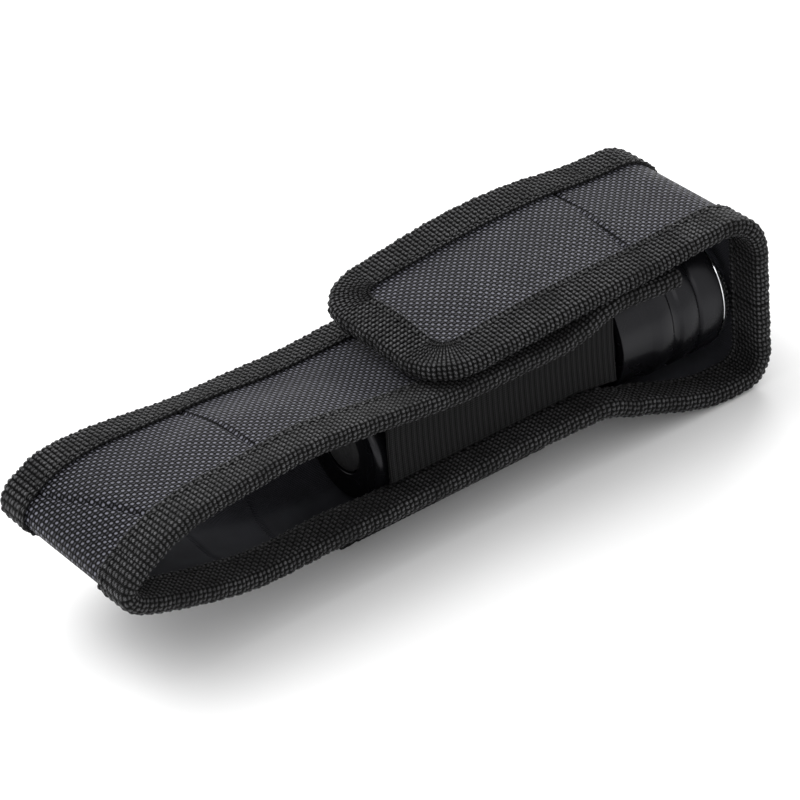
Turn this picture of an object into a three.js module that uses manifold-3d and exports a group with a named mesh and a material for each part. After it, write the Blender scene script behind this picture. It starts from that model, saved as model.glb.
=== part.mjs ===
// Compact flashlight stowed in its belt pouch. Millimetres, +Z up.
// X runs along the pouch: the tail fold is at -X and the head of the light is at +X.
// Y runs across it. The pouch lies on its back, and the flap is on top. The origin is on the
// surface that it rests on, under the middle of its length and width.
import * as THREE from 'three';
import { mergeVertices } from 'three/addons/utils/BufferGeometryUtils.js';
import Module from 'manifold-3d';

const wasm = await Module();
wasm.setup();

// ---- driving dimensions ----
const LENGTH = 180;             // tail fold to end wall
const AXIS_Z = 19.8;            // height of the light's axis
const CLEAR = 0.3;              // gap between pieces that touch
const HEAD_R = 16;              // light: head
const BODY_R = 12.8;            // light: body tube
const CAP_R = 13.2;             // light: tail cap
const FRONT_X = 85.2;           // front of the bezel
const TAIL_X = -16;             // rear rim of the tail cap
const STRIP_HALF = 22.4;        // half width of the laminated strip
const STRIP_T = 2.6;            // laminate: nylon, foam and lining
const LINING_T = 0.7;
const TAPE_T = 0.6;             // binding tape
const TAPE_W = 10;              // how far the tape reaches in over the panel
const FOLD_R = 6;               // middle of the strip round the lower corner at the head
const UPPER_R = 10;             // and round the upper one
const PATCH_T = 1.5;            // hook and loop tapes
const FLAP_RISE = 2.2;          // gap between the tapes of the lid and of the front panel
const ELASTIC_T = 1.2;
const BUTTON_TRAVEL = 1.6;

// ---- worked out from them ----
const HALF_T = STRIP_T / 2;
const SLOT = HALF_T + 0.25;                  // inside of the folded tape, from the strip's middle
const TAPE_OUT = SLOT + TAPE_T;              // outside of the folded tape
const END_X = LENGTH / 2 - TAPE_OUT;         // middle of the end wall
const BACK_HEAD_Z = TAPE_OUT;                // middle of the back panel under the head
const BACK_BODY_Z = AXIS_Z - CAP_R - CLEAR - HALF_T;
const FRONT_BODY_Z = AXIS_Z + CAP_R + CLEAR + HALF_T;
const FRONT_HEAD_Z = AXIS_Z + HEAD_R + CLEAR + TAPE_OUT;
const FLAP_HEAD_Z = FRONT_HEAD_Z + 2 * TAPE_OUT + FLAP_RISE;
const FLAP_END_Z = FRONT_BODY_Z + 2 * TAPE_OUT + FLAP_RISE;
const MOUTH_X = 64;                          // front panel's free edge
const FLAP_END_X = -6;                       // flap's free edge

// ---- colours ----
function finish(color, roughness, metalness = 0) {
  return new THREE.MeshStandardMaterial({ color, roughness, metalness });
}

const NYLON = finish(0x232327, 0.75);
const LINING = finish(0x1d1d22, 0.9);
const TAPE = finish(0x1a1a1c, 0.85);
const ELASTIC = finish(0x161618, 0.9);
const ANODISED = finish(0x141416, 0.32, 0.9);
const STEEL = finish(0xd8dadf, 0.08, 1);
const BRASS = finish(0xb58a3c, 0.3, 1);
const GLASS = finish(0xdfe8ee, 0.03);
const MIRROR = finish(0xe8eaee, 0.05, 1);
const RUBBER = finish(0x101011, 0.8);
const CIRCUIT = finish(0x1f5a36, 0.5);
const PHOSPHOR = finish(0xe9d66a, 0.4);
const PLASTIC = finish(0x1b1b1d, 0.5);
const CELL = finish(0x8a8f96, 0.35, 0.6);

const group = new THREE.Group();
const add = (name, geometry, material) => {
  const mesh = new THREE.Mesh(geometry, material);
  mesh.name = name;
  group.add(mesh);
};

// ---- the strip: one path through the middle of the laminate, in three stretches ----
const MITRE = Math.PI / 4;
const FRONT_TAIL_Z = 37.2;       // the front panel bows up behind the light
const LOWER_FOLD = { x: END_X - FOLD_R, z: BACK_HEAD_Z + FOLD_R };
const UPPER_FOLD = { x: END_X - UPPER_R, z: FLAP_HEAD_Z - UPPER_R };

// Mouth, front panel, tail fold, back panel, and half of the lower corner.
function bodyPath() {
  const p = new THREE.Path();
  p.moveTo(MOUTH_X, FRONT_HEAD_Z);
  p.lineTo(50, FRONT_HEAD_Z);
  p.bezierCurveTo(42, FRONT_HEAD_Z, 38, FRONT_BODY_Z, 30, FRONT_BODY_Z);
  p.lineTo(FLAP_END_X, FRONT_BODY_Z);
  p.bezierCurveTo(-18, FRONT_BODY_Z, -28, FRONT_TAIL_Z, -46, FRONT_TAIL_Z);
  p.bezierCurveTo(-62, FRONT_TAIL_Z, -77, 37, -83.5, 31.5);
  p.bezierCurveTo(-89.65, 28.5, -89.65, 24.5, -82, 21.8);
  p.bezierCurveTo(-66, 16, -52, 9, -34, 7);
  p.bezierCurveTo(-27, 6.2, -23, BACK_BODY_Z, -16, BACK_BODY_Z);
  p.lineTo(38, BACK_BODY_Z);
  p.bezierCurveTo(45, BACK_BODY_Z, 46, BACK_HEAD_Z, 51, BACK_HEAD_Z);
  for (const x of [56, 61, 66, 71, WRAP_HEAD_X, LOWER_FOLD.x]) p.lineTo(x, BACK_HEAD_Z);
  p.absarc(LOWER_FOLD.x, LOWER_FOLD.z, FOLD_R, -Math.PI / 2, -MITRE, false);
  return p;
}

// From the middle of the lower corner, up over the head, to the middle of the upper corner.
function endWallPath() {
  const p = new THREE.Path();
  p.absarc(LOWER_FOLD.x, LOWER_FOLD.z, FOLD_R, -MITRE, 0, false);
  p.lineTo(END_X, UPPER_FOLD.z);
  p.absarc(UPPER_FOLD.x, UPPER_FOLD.z, UPPER_R, 0, MITRE, false);
  return p;
}

// From the middle of the upper corner to the flap's free edge.
function flapPath() {
  const p = new THREE.Path();
  p.absarc(UPPER_FOLD.x, UPPER_FOLD.z, UPPER_R, MITRE, Math.PI / 2, false);
  p.bezierCurveTo(60, FLAP_HEAD_Z, 24, FLAP_HEAD_Z + 0.7, FLAP_END_X, FLAP_END_Z);
  return p;
}

// Lengths along a path where its sections stand: every corner of it, and steps round each bend. Pieces
// that lie on each other share them, so that their facets lie on each other too.
const BEND_STEPS = 9;
function stations(path, from, to) {
  const ends = path.getCurveLengths();
  const between = [];
  path.curves.forEach((curve, i) => {
    const start = i === 0 ? 0 : ends[i - 1];
    const count = curve.isLineCurve ? 1 : BEND_STEPS;
    for (let k = 1; k <= count; k += 1) between.push(start + ((ends[i] - start) * k) / count);
  });
  const apart = 0.2;
  return [from, ...between.filter((s) => s > from + apart && s < to - apart), to];
}

// The back panel wraps up round the light: its sides lie this far above its middle.
const WRAP_LIFT = 8.5;
const WRAP_TAIL_X = -80;
const WRAP_HEAD_X = 77;
const { smoothstep } = THREE.MathUtils;
function wrapLift(x, y, z) {
  if (z > AXIS_Z) return 0;
  const along = smoothstep(x, WRAP_TAIL_X, -18) * (1 - smoothstep(x, 44, WRAP_HEAD_X));
  return WRAP_LIFT * along * smoothstep(Math.abs(y), 4.5, 16);
}

// An outline with extra points on its level runs, where the wrap bends it.
const BREAKS = [4.5, 7, 9.5, 11.5, 13.5, 16];
function withBreaks(outline) {
  return outline.flatMap(([y, n], i) => {
    const [nextY, nextN] = outline[(i + 1) % outline.length];
    if (n !== nextN) return [[y, n]];
    const inside = [...BREAKS.map((b) => -b), ...BREAKS].filter((b) => (b - y) * (b - nextY) < 0);
    inside.sort((a, b) => Math.abs(a - y) - Math.abs(b - y));
    return [[y, n], ...inside.map((b) => [b, n])];
  });
}

// A flat outline in (across, thickness), swept along a path in the XZ plane from one length to another.
// Positive thickness is the outside of the pouch.
function sweep(path, outline, from, to) {
  const shape = new THREE.Shape(outline.map(([y, n]) => new THREE.Vector2(y, n)));
  const places = stations(path, from, to);
  const steps = places.length - 1;
  const geometry = new THREE.ExtrudeGeometry(shape, { depth: steps, steps, bevelEnabled: false });
  const total = path.getLength();
  const at = geometry.getAttribute('position');
  for (let i = 0; i < at.count; i += 1) {
    const u = THREE.MathUtils.clamp(places[Math.round(at.getZ(i))] / total, 0, 1);
    const point = path.getPoint(u);
    const along = path.getTangent(u);
    const y = -at.getX(i);
    const n = at.getY(i);
    const lift = wrapLift(point.x, y, point.y);
    at.setXYZ(i, point.x + along.y * n, y, point.y - along.x * n + lift);
  }
  return geometry;
}

const slab = (half, low, high) => [[-half, low], [half, low], [half, high], [-half, high]];

// The folded tape's section over one long edge: side is -1 or 1.
function tapeSection(side) {
  const edge = STRIP_HALF + CLEAR;
  const rim = edge + TAPE_T;
  const inner = edge - TAPE_W;
  const section = [
    [inner, -TAPE_OUT], [rim, -TAPE_OUT], [rim, TAPE_OUT], [inner, TAPE_OUT],
    [inner, SLOT], [edge, SLOT], [edge, -SLOT], [inner, -SLOT],
  ];
  return section.map(([y, n]) => [-side * y, n]);
}

// ---- boolean joins and cuts ----
function solid(geometry) {
  const bare = geometry.clone();
  bare.deleteAttribute('normal');
  bare.deleteAttribute('uv');
  const merged = mergeVertices(bare, 1e-4);
  return new wasm.Manifold(new wasm.Mesh({
    numProp: 3,
    vertProperties: Float32Array.from(merged.getAttribute('position').array),
    triVerts: Uint32Array.from(merged.index.array),
  }));
}

function geometryOf(manifold) {
  const mesh = manifold.getMesh();
  const geometry = new THREE.BufferGeometry();
  geometry.setAttribute('position', new THREE.BufferAttribute(mesh.vertProperties, 3));
  geometry.setIndex(new THREE.BufferAttribute(mesh.triVerts, 1));
  geometry.computeVertexNormals();
  return geometry;
}

// ---- pouch ----
const HINGE_GAP = 0.15;      // each panel stops this short of the middle of its corner

function panelPair(name, path, from, to, outlineOf = (outline) => outline) {
  const shell = slab(STRIP_HALF, -HALF_T + LINING_T + CLEAR, HALF_T);
  const lining = slab(STRIP_HALF, -HALF_T, -HALF_T + LINING_T);
  add(`${name}_shell`, sweep(path, outlineOf(shell), from, to), NYLON);
  add(`${name}_lining`, sweep(path, outlineOf(lining), from, to), LINING);
}

function edgeTapes(name, path, from, to, outlineOf = (outline) => outline) {
  add(`${name}_binding_left`, sweep(path, outlineOf(tapeSection(1)), from, to), TAPE);
  add(`${name}_binding_right`, sweep(path, outlineOf(tapeSection(-1)), from, to), TAPE);
}

function addBody() {
  const path = bodyPath();
  const end = path.getLength() - HINGE_GAP;
  const start = TAPE_T + CLEAR;
  panelPair('body', path, start, end, withBreaks);
  edgeTapes('body', path, 0, end, withBreaks);
  const between = STRIP_HALF - TAPE_W;       // the end tape fits between the side tapes
  const outside = solid(sweep(path, slab(between, -TAPE_OUT, TAPE_OUT), 0, TAPE_W));
  const slot = solid(sweep(path, slab(between + 1, -SLOT, SLOT), TAPE_T, TAPE_W + 1));
  add('mouth_binding', geometryOf(outside.subtract(slot)), TAPE);
}

function addEndWall() {
  const path = endWallPath();
  const end = path.getLength() - HINGE_GAP;
  panelPair('end_wall', path, HINGE_GAP, end);
  edgeTapes('end_wall', path, HINGE_GAP, end);
}

// A tall block in plan as wide as the lid, with rounded corners at the lid's free end.
const LID_ROUND = 13;
function plan(half, endX, radius) {
  const shape = new THREE.Shape();
  shape.moveTo(LENGTH / 2, half);
  shape.lineTo(endX + radius, half);
  shape.absarc(endX + radius, half - radius, radius, Math.PI / 2, Math.PI, false);
  shape.absarc(endX + radius, radius - half, radius, Math.PI, 1.5 * Math.PI, false);
  shape.lineTo(LENGTH / 2, -half);
  return solid(new THREE.ExtrudeGeometry(shape, { depth: LENGTH, bevelEnabled: false, curveSegments: 6 }));
}

function addFlap() {
  const path = flapPath();
  const total = path.getLength();
  const rim = STRIP_HALF + CLEAR + TAPE_T;
  const wide = slab(rim + 1, -TAPE_OUT - 1, TAPE_OUT + 1);
  const layer = (low, high) => {
    const whole = solid(sweep(path, slab(STRIP_HALF, low, high), HINGE_GAP, total - TAPE_T));
    const inset = TAPE_T + CLEAR;
    return geometryOf(whole.intersect(plan(STRIP_HALF, FLAP_END_X + inset, LID_ROUND - inset)));
  };
  add('flap_shell', layer(-HALF_T + LINING_T + CLEAR, HALF_T), NYLON);
  add('flap_lining', layer(-HALF_T, -HALF_T + LINING_T), LINING);
  const outside = solid(sweep(path, slab(rim, -TAPE_OUT, TAPE_OUT), HINGE_GAP, total));
  const slot = solid(sweep(path, slab(rim, -SLOT, SLOT), 0, total));
  const field = solid(sweep(path, wide, 0, total));
  const inner = TAPE_T + TAPE_W;
  add('flap_binding', geometryOf(
    outside.intersect(plan(rim, FLAP_END_X, LID_ROUND))
      .subtract(slot.intersect(plan(rim - TAPE_T, FLAP_END_X + TAPE_T, LID_ROUND - TAPE_T)))
      .subtract(field.intersect(plan(rim - inner, FLAP_END_X + inner, LID_ROUND - inner))),
  ), TAPE);
}

// Hook and loop tapes that face each other under the lid's free end.
function addClosure() {
  const half = 11;
  const reach = 24;
  const far = 12;              // from the lid's free edge
  const [near, out] = [HALF_T + CLEAR, HALF_T + CLEAR + PATCH_T];
  const body = bodyPath();
  const bodyEnd = body.getCurveLengths()[2] - far;
  add('loop_patch', sweep(body, slab(half, near, out), bodyEnd - reach, bodyEnd), LINING);
  const flap = flapPath();
  const flapEnd = flap.getLength() - far;
  add('hook_patch', sweep(flap, slab(half, -out, -near), flapEnd - reach, flapEnd), LINING);
}

// A strip each side of the light, between the two panels. It follows them where they part at the head.
function addElastic() {
  const [x0, x1] = [-14, 50];
  const inner = 14.2;
  const low = BACK_BODY_Z + WRAP_LIFT + TAPE_OUT + 2 * CLEAR;
  const high = FRONT_BODY_Z - TAPE_OUT - CLEAR;
  const outline = [[x0, low], [38, low], [x1, low - 2], [x1, high + 1.8], [32, high], [x0, high]];
  const shape = new THREE.Shape(outline.map(([x, z]) => new THREE.Vector2(x, z)));
  const strip = new THREE.ExtrudeGeometry(shape, { depth: ELASTIC_T, bevelEnabled: false });
  strip.rotateX(Math.PI / 2);
  add('elastic_left', strip.clone().translate(0, inner + ELASTIC_T, 0), ELASTIC);
  add('elastic_right', strip.clone().translate(0, -inner, 0), ELASTIC);
}

// A webbing strip under the back panel, thickened at both ends where it is sewn on.
function addBeltLoop() {
  const [x0, x1] = [-24, 34];
  const hem = 8;
  const strap = 1.5;
  const top = BACK_BODY_Z - HALF_T - CLEAR;
  const side = new THREE.Shape();
  side.moveTo(x0, 0);
  side.lineTo(x1, 0);
  side.lineTo(x1, top);
  side.lineTo(x1 - hem, top);
  side.lineTo(x1 - hem, strap);
  side.lineTo(x0 + hem, strap);
  side.lineTo(x0 + hem, top);
  side.lineTo(x0, top);
  const width = 16;
  const geometry = new THREE.ExtrudeGeometry(side, { depth: width, bevelEnabled: false });
  add('belt_loop', geometry.rotateX(Math.PI / 2).translate(0, width / 2, 0), TAPE);
}

// ---- flashlight: pieces turned about its axis ----
const TURN = 32;

// A turned piece from an outline of [x, radius] pairs. A piece that reaches the axis starts and ends on
// it, and any other outline is closed here. The outline runs so that the faces point out.
function turned(outline, segments = TURN) {
  const loop = outline[0][1] === 0 ? [...outline] : [...outline, outline[0]];
  let area = 0;
  for (let i = 1; i < loop.length; i += 1) {
    area += loop[i - 1][1] * loop[i][0] - loop[i][1] * loop[i - 1][0];
  }
  if (area < 0) loop.reverse();
  const points = loop.map(([x, r]) => new THREE.Vector2(r, x));
  return new THREE.LatheGeometry(points, segments).rotateZ(-Math.PI / 2).translate(0, 0, AXIS_Z);
}

const ring = (x0, x1, inner, outer) => turned([[x0, inner], [x0, outer], [x1, outer], [x1, inner]]);
function disc(x0, x1, radius, segments = TURN) {
  return turned([[x0, 0], [x0, radius], [x1, radius], [x1, 0]], segments);
}

const HEAD_REAR = 52.5;
const BEZEL_X = FRONT_X - 3.5;        // joint between the head and the bezel
const LENS_X = BEZEL_X - 1.9;
const CUP_R = 14.1;                   // bore of the head in front
const TUBE_BORE = 11.6;
const THREAD_R = 12.2;

function addHead() {
  const groove = 0.7;
  const bands = [[66.6, 69.8], [74.2, 75.6]];
  const outer = [[HEAD_REAR, HEAD_R - 0.9], [HEAD_REAR + 8.6, HEAD_R - 0.9], [HEAD_REAR + 11, HEAD_R]];
  for (const [from, to] of bands) {
    outer.push([from, HEAD_R], [from + groove, HEAD_R - groove]);
    outer.push([to - groove, HEAD_R - groove], [to, HEAD_R]);
  }
  const shell = [
    ...outer,
    [BEZEL_X - 0.2, HEAD_R], [BEZEL_X - 0.2, CUP_R + 0.9],
    [LENS_X - 0.8, CUP_R + 0.9], [LENS_X - 0.8, CUP_R], [64.5, CUP_R],
    [64.5, THREAD_R + CLEAR], [HEAD_REAR, THREAD_R + CLEAR],
  ];
  add('head_shell', turned(shell), ANODISED);
  add('bezel_ring', turned([
    [BEZEL_X + 0.1, CUP_R - 0.4], [FRONT_X, CUP_R - 0.4], [FRONT_X, HEAD_R - 2],
    [FRONT_X - 1.2, HEAD_R - 1], [FRONT_X - 2.9, HEAD_R], [BEZEL_X + 0.1, HEAD_R],
  ]), STEEL);
  add('lens', disc(LENS_X, BEZEL_X - 0.2, CUP_R + 0.5), GLASS);
  add('lens_gasket', ring(LENS_X - 0.7, LENS_X - 0.1, CUP_R - 1.2, CUP_R + 0.6), RUBBER);
}

function addReflector() {
  const depth = 11.5;
  const rim = LENS_X - 0.9;
  const hole = 3.2;
  const steps = 7;
  const wall = 0.9;
  const inside = [];
  for (let i = 0; i <= steps; i += 1) {
    const t = i / steps;
    const radius = hole + (CUP_R - 1.4 - hole) * t;
    inside.push([rim - depth + depth * t * t, radius]);
  }
  const outside = [[rim, CUP_R - 0.3], [rim - 1, CUP_R - 0.3]];
  for (let i = steps - 1; i >= 0; i -= 1) outside.push([inside[i][0] - wall - 0.2, inside[i][1] + wall]);
  outside.push([rim - depth - wall - 0.2, hole]);
  add('reflector', turned([...inside, ...outside]), MIRROR);
}

const SINK_FRONT = 64.2;
const SINK_REAR = 58.1;

function addLedModule() {
  add('led_board', disc(SINK_FRONT + 0.3, SINK_FRONT + 1.5, 8), CIRCUIT);
  add('led_emitter', turned([
    [SINK_FRONT + 1.8, 0], [SINK_FRONT + 1.8, 2.5], [SINK_FRONT + 2.6, 2.5], [SINK_FRONT + 3.2, 1.9],
    [SINK_FRONT + 3.7, 1], [SINK_FRONT + 3.9, 0],
  ], 20), PHOSPHOR);
  add('heat_sink', turned([
    [SINK_REAR, 8.6], [SINK_REAR, 12], [SINK_FRONT, 12], [SINK_FRONT, 1],
    [SINK_FRONT - 2.5, 1], [SINK_FRONT - 2.5, 8.6],
  ]), BRASS);
  add('driver_board', disc(SINK_REAR + 0.5, SINK_REAR + 1.7, 8.3), CIRCUIT);
}

// A round wire wound into a coil about the light's axis, from x0 to x1.
class Coil extends THREE.Curve {
  constructor(x0, x1, r0, r1, turns) {
    super();
    Object.assign(this, { x0, x1, r0, r1, turns });
  }

  getPoint(t, target = new THREE.Vector3()) {
    const angle = 2 * Math.PI * this.turns * t;
    const radius = THREE.MathUtils.lerp(this.r0, this.r1, t);
    const x = THREE.MathUtils.lerp(this.x0, this.x1, t);
    return target.set(x, radius * Math.cos(angle), AXIS_Z + radius * Math.sin(angle));
  }
}

function coil(x0, x1, r0, r1, turns) {
  const wire = new THREE.Shape();
  const sides = 6;
  const radius = 0.4;
  for (let i = 0; i < sides; i += 1) {
    const a = (2 * Math.PI * i) / sides;
    const move = i === 0 ? 'moveTo' : 'lineTo';
    wire[move](radius * Math.cos(a), radius * Math.sin(a));
  }
  const extrudePath = new Coil(x0, x1, r0, r1, turns);
  return new THREE.ExtrudeGeometry(wire, { steps: Math.round(turns * 14), bevelEnabled: false, extrudePath });
}

const CARRIER_FRONT = 54.2;
const CARRIER_REAR = 4;

function addPower() {
  add('driver_spring', coil(SINK_REAR - 0.2, CARRIER_FRONT + 0.8, 3, 4.2, 2.5), STEEL);
  add('cell_carrier_front', disc(CARRIER_FRONT - 2, CARRIER_FRONT, 11.2), PLASTIC);
  add('cell_carrier_rear', disc(CARRIER_REAR, CARRIER_REAR + 2, 11.2), PLASTIC);
  const cellR = 5.2;
  const ringR = 6.15;
  const x0 = CARRIER_REAR + 2.3;
  const x1 = CARRIER_FRONT - 2.3;
  for (let i = 0; i < 3; i += 1) {
    const a = Math.PI / 2 + (2 * Math.PI * i) / 3;
    const cell = turned([[x0, 0], [x0, cellR], [x1 - 1, cellR], [x1 - 1, 1.9], [x1, 1.9], [x1, 0]], 20);
    add(`cell_${i + 1}`, cell.translate(0, ringR * Math.cos(a), ringR * Math.sin(a)), CELL);
  }
  add('carrier_post', disc(CARRIER_REAR + 2.3, CARRIER_FRONT - 2.3, 0.7, 10), PLASTIC);
}

const CAP_MOUTH = 3;              // the tail cap ends here, over the tube's thread
const CAP_STEP = -8;              // shoulder inside the cap that the tail seal sits on
const TUBE_REAR = -6.6;
const TUBE_FRONT = 56.9;
const SEAL_T = 0.7;

function addTube() {
  const rear = CAP_MOUTH + CLEAR;
  const front = HEAD_REAR - CLEAR;
  add('body_tube', turned([
    [TUBE_REAR, TUBE_BORE], [TUBE_FRONT, TUBE_BORE], [TUBE_FRONT, THREAD_R], [front, THREAD_R],
    [front, BODY_R], [rear, BODY_R], [rear, THREAD_R], [TUBE_REAR, THREAD_R],
  ]), ANODISED);
  add('head_oring', ring(TUBE_FRONT + 0.2, TUBE_FRONT + 0.2 + SEAL_T, TUBE_BORE, THREAD_R), RUBBER);
  add('tail_oring', ring(TUBE_REAR - 0.3 - SEAL_T, TUBE_REAR - 0.3, TUBE_BORE, THREAD_R), RUBBER);
}

const LIP = 2.2;                  // thickness of the cap's rear lip
const BUTTON_R = 6.2;

function addTailCap() {
  const inner = THREAD_R + CLEAR;
  const rim = TAIL_X;
  add('tail_cap', turned([
    [rim, BUTTON_R + CLEAR], [rim, CAP_R - 0.8], [rim + 0.8, CAP_R], [rim + 4.2, CAP_R],
    [rim + 4.8, CAP_R - 0.6], [rim + 5.6, CAP_R - 0.6], [rim + 6.2, CAP_R],
    [CAP_MOUTH, CAP_R], [CAP_MOUTH, inner],
    [CAP_STEP, inner], [CAP_STEP, TUBE_BORE], [rim + LIP, TUBE_BORE], [rim + LIP, BUTTON_R + CLEAR],
  ]), ANODISED);
}

// The rubber button presses a plunger into the switch. Both travel together.
function addSwitch() {
  const back = TAIL_X + LIP + CLEAR;      // behind the cap's lip
  const flange = 0.9;
  const seat = back + flange + BUTTON_TRAVEL + 2 * CLEAR;
  const front = seat + 5.2;
  const plungerR = 2;
  add('tail_button', turned([
    [TAIL_X - 0.6, 0], [TAIL_X - 0.6, 4.4], [TAIL_X + 0.3, BUTTON_R - 0.2], [back, BUTTON_R],
    [back, 8], [back + flange, 8], [back + flange, 0],
  ]), RUBBER);
  add('switch_plunger', disc(back + flange + CLEAR, seat + 1.5, plungerR, 16), PLASTIC);
  add('switch_retainer', ring(back, seat - CLEAR, 8.4, TUBE_BORE - CLEAR), BRASS);
  const pocket = seat + 1.5 + BUTTON_TRAVEL + CLEAR;
  add('switch_body', turned([
    [pocket, 0], [pocket, plungerR + CLEAR], [seat, plungerR + CLEAR], [seat, TUBE_BORE - 0.8],
    [front, TUBE_BORE - 0.8], [front, 0],
  ]), PLASTIC);
  add('tail_spring', coil(front + 0.7, CARRIER_REAR - 0.8, 4.6, 3.2, 3), STEEL);
}

addBody();
addEndWall();
addFlap();
addClosure();
addElastic();
addBeltLoop();
addHead();
addReflector();
addLedModule();
addPower();
addTube();
addTailCap();
addSwitch();

export default group;
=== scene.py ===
"""Looks of a compact flashlight in its nylon belt pouch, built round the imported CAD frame. Metres."""
import math

import bpy
import numpy as np
from mathutils import Matrix, Vector


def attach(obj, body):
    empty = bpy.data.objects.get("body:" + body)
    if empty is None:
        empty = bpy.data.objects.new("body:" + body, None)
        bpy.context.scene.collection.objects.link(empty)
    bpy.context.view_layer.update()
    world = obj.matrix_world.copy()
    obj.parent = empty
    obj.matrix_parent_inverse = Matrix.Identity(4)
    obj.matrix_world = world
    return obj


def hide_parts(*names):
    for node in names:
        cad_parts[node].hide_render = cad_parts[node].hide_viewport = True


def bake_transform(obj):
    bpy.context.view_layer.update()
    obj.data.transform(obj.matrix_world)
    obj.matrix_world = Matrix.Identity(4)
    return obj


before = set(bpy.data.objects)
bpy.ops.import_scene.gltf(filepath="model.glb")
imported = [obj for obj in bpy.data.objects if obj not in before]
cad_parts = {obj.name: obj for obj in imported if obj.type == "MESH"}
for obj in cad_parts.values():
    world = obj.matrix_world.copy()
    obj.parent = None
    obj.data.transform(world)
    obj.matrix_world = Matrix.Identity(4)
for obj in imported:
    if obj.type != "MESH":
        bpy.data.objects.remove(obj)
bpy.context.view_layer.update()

MM = 0.001

# ---- the CAD's driving sizes, in millimetres ----
AXIS_Z = 19.8
HEAD_R = 16.0
BODY_R = 12.8
CAP_R = 13.2
FRONT_X = 85.2
TAIL_X = -16.0
HALF_T = 1.3
TAPE_OUT = 2.15
RIM = 23.3                  # half width over the binding
TAPE_W = 9.6                # how far the binding reaches in
LOWER_R = 6.0               # middle of the strip round the two corners at the head
UPPER_R = 10.0
END_X = 90 - TAPE_OUT
BACK_HEAD_Z = TAPE_OUT
BACK_BODY_Z = AXIS_Z - CAP_R - 0.3 - HALF_T
FRONT_BODY_Z = AXIS_Z + CAP_R + 0.3 + HALF_T
FRONT_HEAD_Z = AXIS_Z + HEAD_R + 0.3 + TAPE_OUT
FLAP_RISE = 2.2
FLAP_HEAD_Z = FRONT_HEAD_Z + 2 * TAPE_OUT + FLAP_RISE
FLAP_END_Z = FRONT_BODY_Z + 2 * TAPE_OUT + FLAP_RISE
FRONT_TAIL_Z = 37.2
MOUTH_X = 64.0
FLAP_END_X = -6.0
WRAP_LIFT = 8.5
ELASTIC_Y = 14.2

# ---- the binding's weave, in millimetres ----
RIB = 1.2                   # from one pick across the tape to the next
KNOB = 2.1                  # across the tape, from one raised crossing to the next
STEPS = 4                   # rings of points in each rib
SEAM_IN = 1.5               # from the tape's inner edge to its stitches
STITCH_PITCH = 3.0


# ---- camera ----
def add_camera():
    azimuth, elevation, roll = (math.radians(a) for a in (-35.55, 33.0, -4.7))
    target = Vector((0.8, -0.1, 24.4)) * MM
    back = Vector((math.sin(azimuth) * math.cos(elevation),
                   -math.cos(azimuth) * math.cos(elevation), math.sin(elevation)))
    right = Vector((math.cos(azimuth), math.sin(azimuth), 0))
    up = back.cross(right)
    r2 = right * math.cos(roll) + up * math.sin(roll)
    u2 = up * math.cos(roll) - right * math.sin(roll)
    data = bpy.data.cameras.new("camera")
    data.lens = 204.3
    data.sensor_width = 36
    data.clip_start = 0.05
    data.clip_end = 20
    camera = bpy.data.objects.new("camera", data)
    bpy.context.scene.collection.objects.link(camera)
    place = target + back
    rows = [(r2[i], u2[i], back[i], place[i]) for i in range(3)]
    camera.matrix_world = Matrix([*rows, (0, 0, 0, 1)])
    bpy.context.scene.camera = camera


add_camera()


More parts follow.
